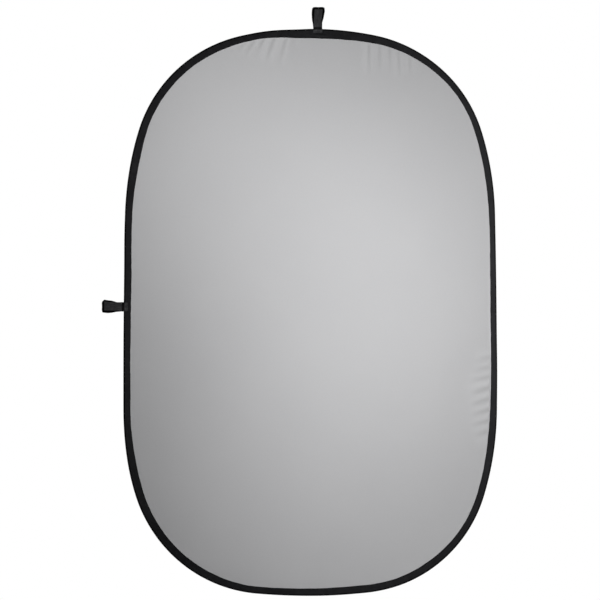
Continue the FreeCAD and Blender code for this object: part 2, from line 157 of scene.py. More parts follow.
class Route:
    """A chain of tangent arcs round part of the outline, anticlockwise seen from the front."""

    def __init__(self, arcs):
        self.arcs = arcs
        lengths = [radius * (end - start) for _, radius, start, end in arcs]
        self.ends = np.concatenate([[0], np.cumsum(lengths)])
        self.length = self.ends[-1]

    def at(self, distance):
        """Points (x, z) and outward normals at distances along the route."""
        distance = np.asarray(distance, float)
        points = np.zeros((len(distance), 2))
        normals = np.zeros((len(distance), 2))
        which = np.clip(np.searchsorted(self.ends, distance, "right") - 1, 0, len(self.arcs) - 1)
        for index, (centre, radius, start, _) in enumerate(self.arcs):
            mine = which == index
            angle = start + (distance[mine] - self.ends[index]) / radius
            normals[mine] = np.stack([np.cos(angle), np.sin(angle)], 1)
            points[mine] = np.array(centre) + radius * normals[mine]
        return points + swell(points)[:, None] * normals, normals


def flank_arc(side, height):
    """The arc that touches the side's arc from inside, its centre at a given height."""
    rise = height - side[1]
    return (side[0] + math.sqrt((side[2] - FLANK_RADIUS) ** 2 - rise**2), height, FLANK_RADIUS)


def outline_routes():
    """The outline's two halves, split at mid height: over the top, and round the bottom."""
    top = (0, HALF_HEIGHT - TOP_RADIUS, TOP_RADIUS)
    bottom = (0, BOTTOM_RADIUS - HALF_HEIGHT, BOTTOM_RADIUS)
    side = (HALF_WIDTH - SIDE_RADIUS, -WAIST_DROP, SIDE_RADIUS)
    high_flank = flank_arc(side, HIGH_FLANK_HEIGHT)
    low_flank = flank_arc(side, -LOW_FLANK_DROP)
    shoulder = (*inner_centre(top, high_flank, SHOULDER_RADIUS, 1), SHOULDER_RADIUS)
    foot = (*inner_centre(bottom, low_flank, FOOT_RADIUS, -1), FOOT_RADIUS)
    middle = math.asin(WAIST_DROP / SIDE_RADIUS)

    def half(arcs, turns):
        """Right side, cap and mirrored left side; turns are the bearings between the arcs."""
        right = list(zip(arcs, turns[:-1], turns[1:]))
        left = [((-x, z, r), math.pi - end, math.pi - start) for (x, z, r), start, end in right]
        return [((x, z), r, start, end) for (x, z, r), start, end in right + left[::-1]]

    up_turns = [middle, bearing(side, high_flank), bearing(high_flank, shoulder)]
    up_turns += [bearing(top, shoulder), math.pi / 2]
    over = half([side, high_flank, shoulder, top], up_turns)
    down_turns = [-math.pi / 2, bearing(bottom, foot), bearing(low_flank, foot)]
    down_turns += [bearing(side, low_flank), middle]
    under = half([bottom, foot, low_flank, side], down_turns)
    turn = 2 * math.pi
    right, left = under[:4], under[4:]
    right = [(centre, radius, start + turn, end + turn) for centre, radius, start, end in right]
    return Route(over), Route(left + right)


OVER, UNDER = outline_routes()


def stations(route, step):
    """Even distances along a whole route, about a step apart."""
    count = max(2, math.ceil(route.length / step))
    return np.linspace(0, route.length, count + 1)


def smooth(x):
    """A smooth rise from 0 to 1 as x goes from 0 to 1."""
    x = np.clip(x, 0, 1)
    return x * x * (3 - 2 * x)


def ripple(distance, seed, waves, shortest, longest):
    """A smooth irregular wave along the rim, between about -1 and 1, the same each run."""
    draw = np.random.default_rng(seed)
    lengths = draw.uniform(shortest, longest, waves)
    phases = draw.uniform(0, 2 * math.pi, waves)
    turns = 2 * math.pi * np.asarray(distance)[..., None] / lengths + phases
    return np.sin(turns).sum(-1) / math.sqrt(waves)


# ------------ binding's width

# The tape is folded unevenly round the rim: bearing from the panel's middle in degrees, and how
# far inside the rim, in millimetres, the lip lies there.
LIPS = [
    (-176, 23.5), (-165, 22), (-150, 22.4), (-138, 28), (-117, 26.2), (-98, 22.2), (-84, 24.8),
    (-75, 23.9), (-66, 25.4), (-48, 22.6), (-34, 23.8), (-20, 20.2), (23, 18.6), (37, 22.2),
    (46, 20.8), (58, 20.6), (68, 23.8), (78, 25.2), (87, 31.8), (93, 27.6), (99, 21), (110, 25.6),
    (130, 25.2), (141, 27.8), (154, 22.6), (175, 23.6),
]
# Degrees each side of a bearing that the lip's place is averaged over.
LIP_BLUR = 4
# The lip's own waver: height in millimetres, waves all round the rim, and phase.
LIP_WAVES = [
    (0.35, 9, 1),
    (0.25, 23, 2),
    (0.18, 71, 0),
    (0.12, 127, 1),
]


def along_rim(bearings, rows):
    """The columns of a table, its first a bearing in degrees, read off at other bearings."""
    known, *columns = np.array(rows).T
    return [np.interp(bearings, known, column, period=360) for column in columns]


def lip_depth(points):
    """How far inside the rim the binding's lip lies."""
    bearings = bearings_of(points)
    window = np.linspace(-LIP_BLUR, LIP_BLUR, 9)
    (near,) = along_rim(bearings[:, None] + window, LIPS)
    depth = near.mean(-1)
    for height, waves, phase in LIP_WAVES:
        depth += height * np.sin(waves * np.radians(bearings) + phase)
    return depth * MM


# ------------ mesh helpers

def make_piece(name, points, faces, uv=None, outward=False):
    """A mesh object from arrays; uv is one pair per point, in metres."""
    mesh = bpy.data.meshes.new(name)
    mesh.from_pydata([tuple(p) for p in points], [], [tuple(f) for f in faces])
    if uv is not None:
        layer = mesh.uv_layers.new(name="UVMap")
        corner_points = np.zeros(len(mesh.loops), np.int32)
        mesh.loops.foreach_get("vertex_index", corner_points)
        layer.data.foreach_set("uv", np.asarray(uv, np.float32)[corner_points].ravel())
    if outward:
        shell = bmesh.new()
        shell.from_mesh(mesh)
        bmesh.ops.recalc_face_normals(shell, faces=shell.faces)
        shell.to_mesh(mesh)
        shell.free()
    mesh.polygons.foreach_set("use_smooth", [True] * len(mesh.polygons))
    mesh.update()
    piece = bpy.data.objects.new(name, mesh)
    bpy.context.scene.collection.objects.link(piece)
    return piece


def to_row(x, y, z):
    """Panel places to the row frame."""
    return np.stack([x, y, z], -1) + PANEL_MIDDLE


def grid_faces(rows, columns, wrap):
    """Quads over a grid of rows by columns; wrap joins the last column to the first."""
    faces = []
    last = columns if wrap else columns - 1
    for row in range(rows - 1):
        base = row * columns
        for column in range(last):
            beside = (column + 1) % columns
            faces.append(
                (base + column, base + beside, base + columns + beside, base + columns + column)
            )
    return faces


def rod_faces(rows, columns):
    """Faces of a swept section, closed by one face at each end."""
    final = (rows - 1) * columns
    ends = [tuple(reversed(range(columns))), tuple(range(final, final + columns))]
    return grid_faces(rows, columns, wrap=True) + ends


def shell_faces(rows, columns):
    """The same for a section whose second half is the inside of its first, drawn backwards."""
    faces = grid_faces(rows, columns, wrap=True)
    final = (rows - 1) * columns
    for column in range(columns // 2 - 1):
        cap = (column, column + 1, columns - 2 - column, columns - 1 - column)
        faces.append(tuple(reversed(cap)))
        faces.append(tuple(final + corner for corner in cap))
    return faces


def sweep(name, route, distance, section, faces_of):
    """Carry a closed section along a route.

    section is (stations, points, 2): depth inside the rim and thickness place y.
    """
    points, normals = route.at(distance)
    depth, across = section[..., 0], section[..., 1]
    x = points[:, None, 0] - depth * normals[:, None, 0]
    z = points[:, None, 1] - depth * normals[:, None, 1]
    step = np.linalg.norm(np.diff(section, axis=1), axis=-1)
    around = np.concatenate([0 * depth[:, :1], np.cumsum(step, axis=1)], axis=1)
    along = np.broadcast_to(np.asarray(distance)[:, None], around.shape)
    uv = np.stack([along, around], -1).reshape(-1, 2)
    flat = to_row(x.ravel(), across.ravel(), z.ravel())
    return make_piece(name, flat, faces_of(*depth.shape), uv, outward=True)


# ------------ materials

def new_material(name):
    material = bpy.data.materials.new(name)
    material.use_nodes = True
    tree = material.node_tree
    return material, tree, tree.nodes["Principled BSDF"]


def set_inputs(node, settings):
    for name, setting in settings.items():
        node.inputs[name].default_value = setting


def uv_place(tree):
    """The place on the unrolled cloth or thread, in metres: both coordinates, then each alone."""
    uv = tree.nodes.new("ShaderNodeUVMap")
    uv.uv_map = "UVMap"
    parts = tree.nodes.new("ShaderNodeSeparateXYZ")
    tree.links.new(uv.outputs["UV"], parts.inputs["Vector"])
    return uv.outputs["UV"], parts.outputs["X"], parts.outputs["Y"]


def math_node(tree, operation, *given):
    """A sum with sockets or numbers."""
    node = tree.nodes.new("ShaderNodeMath")
    node.operation = operation
    for socket, value in zip(node.inputs, given):
        if isinstance(value, (int, float)):
            socket.default_value = value
        else:
            tree.links.new(value, socket)
    return node.outputs[0]


def wave_height(tree, place, pitch):
    """A sine of one coordinate, one turn for each pitch."""
    turns = math_node(tree, "MULTIPLY", place, 2 * math.pi / pitch)
    return math_node(tree, "SINE", turns)


def mix_colour(tree, factor, dark, light):
    mix = tree.nodes.new("ShaderNodeMix")
    mix.data_type = "RGBA"
    mix.inputs["A"].default_value = (*dark, 1)
    mix.inputs["B"].default_value = (*light, 1)
    tree.links.new(factor, mix.inputs["Factor"])
    return mix.outputs["Result"]


def attribute_value(tree, name):
    attribute = tree.nodes.new("ShaderNodeAttribute")
    attribute.attribute_name = name
    return attribute.outputs["Fac"]


def mix_by_attribute(tree, name, base, other):
    """The base colour, turned into the other one as far as a vertex attribute says."""
    mixed = mix_colour(tree, attribute_value(tree, name), other, other)
    tree.links.new(base, mixed.node.inputs["A"])
    return mixed


def noise(tree, vector, scale, detail):
    node = tree.nodes.new("ShaderNodeTexNoise")
    set_inputs(node, {"Scale": scale, "Detail": detail})
    tree.links.new(vector, node.inputs["Vector"])
    return node.outputs["Fac"]


def add_bump(tree, shader, height, distance, strength):
    bump = tree.nodes.new("ShaderNodeBump")
    set_inputs(bump, {"Distance": distance, "Strength": strength})
    tree.links.new(height, bump.inputs["Height"])
    tree.links.new(bump.outputs["Normal"], shader.inputs["Normal"])


# How much painted shade darkens the deepest furrow below flat cloth, and how much a painted
# highlight pales the highest crest.
FOLD_SHADE_AND_HIGHLIGHT = 0.155
CLOTH_THREAD_PITCH = 0.9 * MM


def cloth_material(name, dark, light, lip_highlight_colour):
    """Matte plain weave, faintly mottled, with a painted highlight in a pale line beside the lip,
    painted shade down in the furrows and a painted highlight on the crests.
    """
    material, tree, shader = new_material(name)
    place, across, up = uv_place(tree)
    warp = wave_height(tree, across, CLOTH_THREAD_PITCH)
    weft = wave_height(tree, up, CLOTH_THREAD_PITCH)
    weave = math_node(tree, "MULTIPLY", warp, weft)
    slub = noise(tree, place, 900, 2)
    cloud = noise(tree, place, 3.5, 4)
    fleck = noise(tree, place, 160, 5)
    clouds = math_node(tree, "MULTIPLY_ADD", cloud, 0.45, 0.5)
    tone = math_node(tree, "MULTIPLY_ADD", weave, 0.12, clouds)
    tone = math_node(tree, "MULTIPLY_ADD", fleck, 0.35, tone)
    base = mix_colour(tree, tone, dark, light)
    # A painted highlight pales the cloth in a line beside the lip.
    base = mix_by_attribute(tree, "stretch", base, lip_highlight_colour)
    # Painted shade darkens the furrows, and a painted highlight pales the crests.
    fold = attribute_value(tree, "fold")
    shaded = tree.nodes.new("ShaderNodeVectorMath")
    shaded.operation = "SCALE"
    tree.links.new(base, shaded.inputs[0])
    tree.links.new(math_node(tree, "MULTIPLY_ADD", fold, FOLD_SHADE_AND_HIGHLIGHT, 1), shaded.inputs["Scale"])
    tree.links.new(shaded.outputs["Vector"], shader.inputs["Base Color"])
    height = math_node(tree, "MULTIPLY_ADD", slub, 0.6, weave)
    add_bump(tree, shader, height, 0.06 * MM, 0.5)
    set_inputs(shader, {"Roughness": 0.9, "Specular IOR Level": 0.2})
    set_inputs(shader, {"Sheen Weight": 0.08, "Sheen Roughness": 0.5})
    return material


# Near black, for painted shade.
PAINTED_SHADE_COLOUR = (0.0003, 0.0003, 0.0004)


def tape_material(name, dark, light, sheen_and_dust, rib_pitch, cross_pitch):
    """Black woven tape: ribs along its length crossed by fine picks, dustier on its high ribs.

    One vertex attribute pales it with dustiness and painted sheen, and another puts painted shade
    on its tight folds and turned-over edges.
    """
    material, tree, shader = new_material(name)
    place, along, across = uv_place(tree)
    ribs = wave_height(tree, across, rib_pitch)
    picks = wave_height(tree, along, cross_pitch)
    weave = math_node(tree, "MULTIPLY_ADD", picks, 0.5, ribs)
    wear = noise(tree, place, 55, 6)
    patch = noise(tree, place, 9, 3)
    worn = math_node(tree, "MULTIPLY", wear, patch)
    worn = math_node(tree, "MULTIPLY", worn, 2.2)
    share = math_node(tree, "MULTIPLY_ADD", weave, 0.1, worn)
    base = mix_colour(tree, share, dark, light)
    # Dust and painted sheen pale the tape, and painted shade darkens its tight folds and edges.
    base = mix_by_attribute(tree, "dust_and_sheen", base, sheen_and_dust)
    base = mix_by_attribute(tree, "painted_shade", base, PAINTED_SHADE_COLOUR)
    tree.links.new(base, shader.inputs["Base Color"])
    add_bump(tree, shader, weave, 0.12 * MM, 0.7)
    set_inputs(shader, {"Roughness": 0.65, "Specular IOR Level": 0.02})
    return material


THREAD_TWIST_PITCH = 0.45 * MM


def thread_material(name, dark, light):
    """Twisted sewing thread with a slight polish."""
    material, tree, shader = new_material(name)
    place, along, across = uv_place(tree)
    slant = math_node(tree, "ADD", along, across)
    twist = wave_height(tree, slant, THREAD_TWIST_PITCH)
    lint = noise(tree, place, 500, 3)
    share = math_node(tree, "MULTIPLY_ADD", twist, 0.3, lint)
    tree.links.new(mix_colour(tree, share, dark, light), shader.inputs["Base Color"])
    add_bump(tree, shader, twist, 0.05 * MM, 0.6)
    set_inputs(shader, {"Roughness": 0.55, "Specular IOR Level": 0.25})
    return material


def steel_material(name, dark, light, roughness, scratch_scale):
    """Rolled or crimped metal with fine scratches along it."""
    material, tree, shader = new_material(name)
    place = tree.nodes.new("ShaderNodeTexCoord")
    squeeze = tree.nodes.new("ShaderNodeMapping")
    squeeze.inputs["Scale"].default_value = (1, 1, 14)
    tree.links.new(place.outputs["Object"], squeeze.inputs["Vector"])
    scratches = noise(tree, squeeze.outputs["Vector"], scratch_scale, 6)
    tree.links.new(mix_colour(tree, scratches, dark, light), shader.inputs["Base Color"])
    spread = math_node(tree, "MULTIPLY_ADD", scratches, 0.25, roughness)
    tree.links.new(spread, shader.inputs["Roughness"])
    add_bump(tree, shader, scratches, 0.02 * MM, 0.4)
    shader.inputs["Metallic"].default_value = 1.0
    return material


GREY_CLOTH = cloth_material("grey_cloth", (0.463, 0.465, 0.479), (0.542, 0.542, 0.55), (0.7, 0.7, 0.72))
WHITE_CLOTH = cloth_material("white_cloth", (0.69, 0.69, 0.68), (0.76, 0.76, 0.75), (0.8, 0.8, 0.79))
BINDING_TAPE = tape_material(
    "binding_tape",
    dark=(0.0072, 0.0072, 0.0079),
    light=(0.0218, 0.0218, 0.0237),
    sheen_and_dust=(0.065, 0.065, 0.069),
    rib_pitch=1.1 * MM,
    cross_pitch=0.8 * MM,
)
WEBBING = tape_material(
    "webbing",
    dark=(0.0152, 0.0152, 0.0163),
    light=(0.054, 0.054, 0.057),
    sheen_and_dust=(0.13, 0.13, 0.134),
    rib_pitch=2.2 * MM,
    cross_pitch=1.1 * MM,
)
BLACK_THREAD = thread_material("thread", (0.0155, 0.0155, 0.017), (0.056, 0.056, 0.06))
SPRING_STEEL = steel_material("spring_steel", (0.28, 0.29, 0.31), (0.5, 0.51, 0.53), 0.28, 60)
CRIMP_METAL = steel_material("crimp_metal", (0.5, 0.5, 0.51), (0.72, 0.72, 0.73), 0.32, 90)


# ------------ finishing pieces


def bend_with(piece):
    """Bake the piece's place into its mesh."""
    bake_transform(piece)


def finish_piece(piece, material, nodes):
    piece.data.materials.append(material)
    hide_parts(*nodes)


def crisp_border(piece):
    """Keep the shading of a sheet's face flat right up to its cut edges."""
    mesh = piece.data
    uses = {}
    for face in mesh.polygons:
        for key in face.edge_keys:
            uses[key] = uses.get(key, 0) + 1
    border = [uses.get(tuple(sorted(edge.vertices)), 0) < 2 for edge in mesh.edges]
    sharp = mesh.attributes.new("sharp_edge", "BOOLEAN", "EDGE")
    sharp.data.foreach_set("value", border)


def set_attribute(piece, name, values):
    """One number for each of the mesh's points."""
    attribute = piece.data.attributes.new(name, "FLOAT", "POINT")
    attribute.data.foreach_set("value", np.asarray(values, np.float32).ravel())


def both_skins(values):
    """Values over one skin of a closed section, and the same again back over the other."""
    return np.concatenate([values, values[:, ::-1]], 1)


HALVES = (("top", OVER), ("bottom", UNDER))


# ------------ binding

RIM_HALF_THICKNESS = 3.6 * MM
LIP_HALF_THICKNESS = 1.35 * MM
TAPE_THICKNESS = 0.7 * MM
# The power of the distance from the lip by which the tape bulges towards the rim.
TAPE_BULGE = 1.7
# How far inside the lip the seam lies, and the groove it draws into the tape.
SEAM_FROM_LIP = 2.6 * MM
GROOVE_DEPTH = 0.22 * MM
GROOVE_WIDTH = 1.1 * MM
# Points round one skin of the tape, and the step along the rim.
CONTOUR_POINTS = 31
TAPE_STEP = 4 * MM


def binding_contour(lip, shrink):
    """Depth and y round one skin of the binding, from its front lip to its back lip."""
    back = STRIP_INSET - shrink
    rim = RIM_HALF_THICKNESS - shrink
    flat = LIP_HALF_THICKNESS - shrink
    side_count = (CONTOUR_POINTS - 1) // 3
    side = np.linspace(1, 0, side_count + 1)[:-1]
    lip = lip[:, None]
    depth_side = STRIP_INSET + (lip - STRIP_INSET) * side
    stretch = np.ones_like(lip)
    y_side = stretch * (flat + (rim - flat) * (1 - side) ** TAPE_BULGE)
    if shrink == 0:
        y_side -= GROOVE_DEPTH * hump(lip - SEAM_FROM_LIP - depth_side, GROOVE_WIDTH)
    angle = np.linspace(0, math.pi, CONTOUR_POINTS - 2 * side_count)
    depth_back = STRIP_INSET - back * np.sin(angle)
    y_back = -rim * np.cos(angle)
    depth = np.concatenate([depth_side, depth_back * stretch, depth_side[:, ::-1]], 1)
    y = np.concatenate([-y_side, y_back * stretch, y_side[:, ::-1]], 1)
    return np.stack([depth, y], -1)


# Bearing from the panel's middle in degrees, then how much painted sheen pales the tape there,
# strongest on the right, and how dark the painted shade on its tight outer fold is.
TAPE_SHEEN_AND_SHADE = [
    (-155, 0.14, 1.0), (-118, 0.0, 0.7), (-88, 0.1, 0.7), (-48, 0.12, 0.6), (-20, 0.27, 0.35),
    (20, 0.27, 0.35), (70, 0.12, 0.6), (105, 0.0, 0.9), (165, 0.1, 1.0),
]
# How far in from the rim the painted shade on the tight outer fold reaches, and over how much it fades.
TIGHT_FOLD_DEPTH = 6.2 * MM
TIGHT_FOLD_FADE = 1.8 * MM
# The share of the tape's width where painted shade starts to darken the lip, over what share, and how
# far.
LIP_SHADE_FROM = 0.86
LIP_SHADE_FADE = 0.12
LIP_SHADE = 0.5
# The tape is a little slack between rim and lip: height, shortest and longest wave.
SLACK_HEIGHT = 0.16 * MM
SLACK_WAVES = (18 * MM, 60 * MM)
# Sewing the top loop on draws the tape below its tail into a crease, darker with painted shade, and
# a ridge, paler with a painted highlight: bearing and spread in degrees, height, then each one's
# depth inside the rim, half width and tone.
PINCH_BEARING = 88.0
PINCH_SPREAD = 1.5
PINCH_HEIGHT = 0.35 * MM
CREASE_DEPTH = 18.4 * MM
CREASE_WIDTH = 1.6 * MM
CREASE_SHADE = 0.6
RIDGE_DEPTH = 23.2 * MM
RIDGE_WIDTH = 2.2 * MM
RIDGE_HIGHLIGHT = 0.24


def make_binding(half, route):
    distance = stations(route, TAPE_STEP)
    points, _ = route.at(distance)
    lip = lip_depth(points)
    around = bearings_of(points)
    outer = binding_contour(lip, 0)
    inner = binding_contour(lip, TAPE_THICKNESS)
    depth = outer[..., 0]
    side = np.sign(outer[..., 1])
    slack = SLACK_HEIGHT * ripple(distance, 11, 7, *SLACK_WAVES)
    depth_share = smooth(depth / lip[:, None])
    outer[..., 1] += side * slack[:, None] * depth_share * (1 - depth_share) * 4
    pinch = hump(turn_between(around, PINCH_BEARING), PINCH_SPREAD, 4)[:, None]
    crease = pinch * hump(depth - CREASE_DEPTH, CREASE_WIDTH)
    ridge = pinch * hump(depth - RIDGE_DEPTH, RIDGE_WIDTH)
    outer[..., 1] += side * PINCH_HEIGHT * (ridge - crease)
    section = np.concatenate([outer, inner[:, ::-1]], 1)
    piece = sweep(f"binding_{half}", route, distance, section, shell_faces)
    # Painted sheen and the strength of the painted shade on the tight outer fold, round the rim.
    sheen_and_dust, painted_edge_shade = along_rim(around, TAPE_SHEEN_AND_SHADE)
    # Painted shade on the tight outer fold, along the lip and in the crease.
    tight_fold = smooth((TIGHT_FOLD_DEPTH - section[..., 0]) / TIGHT_FOLD_FADE)
    share = section[..., 0] / lip[:, None]
    painted_shade = tight_fold * painted_edge_shade[:, None]
    painted_shade += smooth((share - LIP_SHADE_FROM) / LIP_SHADE_FADE) * LIP_SHADE
    painted_shade += CREASE_SHADE * both_skins(crease)
    set_attribute(piece, "painted_shade", painted_shade)
    # Painted sheen round the rim, and a painted highlight on the ridge.
    set_attribute(piece, "dust_and_sheen", sheen_and_dust[:, None] + RIDGE_HIGHLIGHT * both_skins(ridge))
    top_nodes = ("binding_upper", "binding_left", "binding_right")
    nodes = top_nodes if half == "top" else ("binding_lower",)
    finish_piece(piece, BINDING_TAPE, nodes)
    bend_with(piece)


for half, route in HALVES:
    make_binding(half, route)


# ------------ spring strip

STRIP_STEP = 8 * MM


def make_strip(name, half, route, start, end, parts):
    """A length of the strip on edge, its corners eased."""
    distance = np.linspace(start, end, math.ceil((end - start) / STRIP_STEP))
    ease = 0.2 * MM
    high = STRIP_DEPTH / 2
    wide = STRIP_THICKNESS / 2
    corners = [
        (-wide, -high + ease), (-wide + ease, -high), (wide - ease, -high), (wide, -high + ease),
        (wide, high - ease), (wide - ease, high), (-wide + ease, high), (-wide, high - ease),
    ]
    section = np.array(corners)[None] + np.array([STRIP_INSET, 0])
    section = np.repeat(section, len(distance), 0)
    piece = sweep(f"spring_strip_{name}", route, distance, section, rod_faces)
    nodes = [f"spring_strip_{part}" for part in parts]
    finish_piece(piece, SPRING_STEEL, nodes)
    bend_with(piece)


left_end = (UNDER.length - STRIP_END_GAP) / 2
right_end = (UNDER.length + STRIP_END_GAP) / 2
STRIPS = [
    ("top", "top", OVER, 0, OVER.length, ("upper", "left", "right")),
    ("bottom_left", "bottom", UNDER, 0, left_end, ("lower_left",)),
    ("bottom_right", "bottom", UNDER, right_end, UNDER.length, ("lower_right",)),
]
for strip in STRIPS:
    make_strip(*strip)
frame["nodes"]["splice_sleeve"].data.materials.clear()
frame["nodes"]["splice_sleeve"].data.materials.append(CRIMP_METAL)


# ------------ cloths

# Furrows that run in from the rim, with the cloth standing up on both sides of each: bearing of
# the rim point from the panel's middle, heading of the furrow, both in degrees anticlockwise from
# the right, then length, half width and height of the cloth beside it.
FRONT_FOLDS = [
    (101.9, 234, 88, 9, 1.7), (100.2, 240, 100, 8, 2.1), (98.3, 242, 94, 7.5, 2.4),
    (96.6, 252, 124, 8, 2.5), (94.2, 254, 132, 7.5, 2.2), (92.6, 256, 66, 8, 1.0),
    (77.9, 270, 150, 6.5, 1.9), (75.8, 271, 132, 7.5, 1.6), (73.7, 272, 122, 7, 1.4),
    (71.7, 271, 128, 6.5, 1.6), (69.4, 273, 104, 7, 1.4), (-12.7, 199, 80, 9, 1.9),
    (-15.7, 196, 86, 9, 2.2), (-18.7, 191, 98, 8, 2.6), (-21.3, 198, 106, 10.5, 3.5),
    (-24.3, 198, 106, 9.5, 3.2), (-27.0, 197, 98, 8.5, 3.2), (-29.7, 195, 98, 8.5, 3.0),
    (-32.1, 197, 86, 9, 2.5), (-64.0, 126, 60, 8, 0.5), (-66.4, 128, 56, 8, 0.5),
]
BACK_FOLDS = [
    (58.0, 232, 90, 8, 1.2), (61.0, 234, 105, 8, 1.6), (64.5, 236, 85, 8, 1.1),
    (150.0, 338, 100, 9, 1.4), (153.0, 340, 115, 9, 1.9), (156.5, 342, 105, 9, 1.5),
    (202.0, 12, 95, 8, 1.2), (205.5, 14, 85, 8, 1.0), (300.0, 112, 90, 8, 1.1),
    (302.8, 114, 100, 8, 1.4),
]
# How much of the cloth's rise a furrow takes away, how many half widths to each side the rise
# reaches, and, in half widths, a furrow's spread at its start and what its end adds.
FURROW_SHARE = 0.85
PUFF_WIDTH = 2.7
START_WIDTH = 0.9
END_WIDENING = 0.4
# The power of the distance by which a furrow fades, and the rise with full painted shade and highlight.
FURROW_FADE = 2.5
FULL_TONE_RISE = 3.4 * MM


def rim_at(angles):
    """Rim points, in the panel's plane, at bearings in degrees from its middle."""
    both = []
    for route in (OVER, UNDER):
        points, _ = route.at(stations(route, 2 * MM))
        both.append(points)
    rim = np.concatenate(both)
    rows = np.column_stack([bearings_of(rim), rim])
    return np.stack(along_rim(np.asarray(angles), rows), -1)


def folds_at(x, z, folds):
    """How far the cloth stands up among its furrows, and a share from deep (-1) to high (1) for the
    painted shade in the furrows and the painted highlight on the crests.
    """
    puff = np.zeros_like(x)
    clear = np.ones_like(x)
    starts = rim_at([row[0] for row in folds])
    for start, (_, heading, length, width, rise) in zip(starts, folds):
        right = math.cos(math.radians(heading))
        up = math.sin(math.radians(heading))
        run = (x - start[0]) * right + (z - start[1]) * up
        off = (z - start[1]) * right - (x - start[0]) * up
        share = np.clip(run / (length * MM), 0, 1)
        spread = width * MM * (START_WIDTH + END_WIDENING * share)
        fade = 1 - smooth(share**FURROW_FADE)
        puff += (rise * MM * fade * hump(off, PUFF_WIDTH * spread)) ** 4
        clear *= 1 - FURROW_SHARE * np.sqrt(fade) * hump(off, spread)
    puff = puff**0.25
    return puff * clear, np.clip(puff / FULL_TONE_RISE, 0, 1) * (2 * clear - 1)


# The mesh's steps near the rim and in the plain middle, and the share of the way out between.
EDGE_STEP = 3.2 * MM
COARSE_STEP = 13 * MM
FINE_SHARE = 0.865
CLOTH_THICKNESS = 0.35 * MM
# How far each cloth lies from the middle plane, and how far past the lip it comes quite free.
CLOTH_STAND_OFF = 0.35 * MM
FREE_REACH = 7 * MM
# Small puckers along the lip: height, fading distance, shortest and longest wave, and the
# radius in metres that turns a bearing into a length.
PUCKER_HEIGHT = 0.28 * MM
PUCKER_FADE = 14 * MM
PUCKER_WAVES = (13 * MM, 34 * MM)
PUCKER_RADIUS = 0.8
# The cloth swells a little beside the lip: height, distance from it and half width.
ROLL_HEIGHT = 0.25 * MM
ROLL_PLACE = 3 * MM
ROLL_WIDTH = 2.6 * MM
# A painted highlight pales the cloth in a line beside the lip: distance, half width, least
# strength, and the bearing and spread, in degrees, of the strongest highlight.
LIP_HIGHLIGHT_PLACE = 1.5 * MM
LIP_HIGHLIGHT_WIDTH = 2.2 * MM
LIP_HIGHLIGHT_LEAST = 0.15
LIP_HIGHLIGHT_BEARING = -25
LIP_HIGHLIGHT_SPREAD = 22


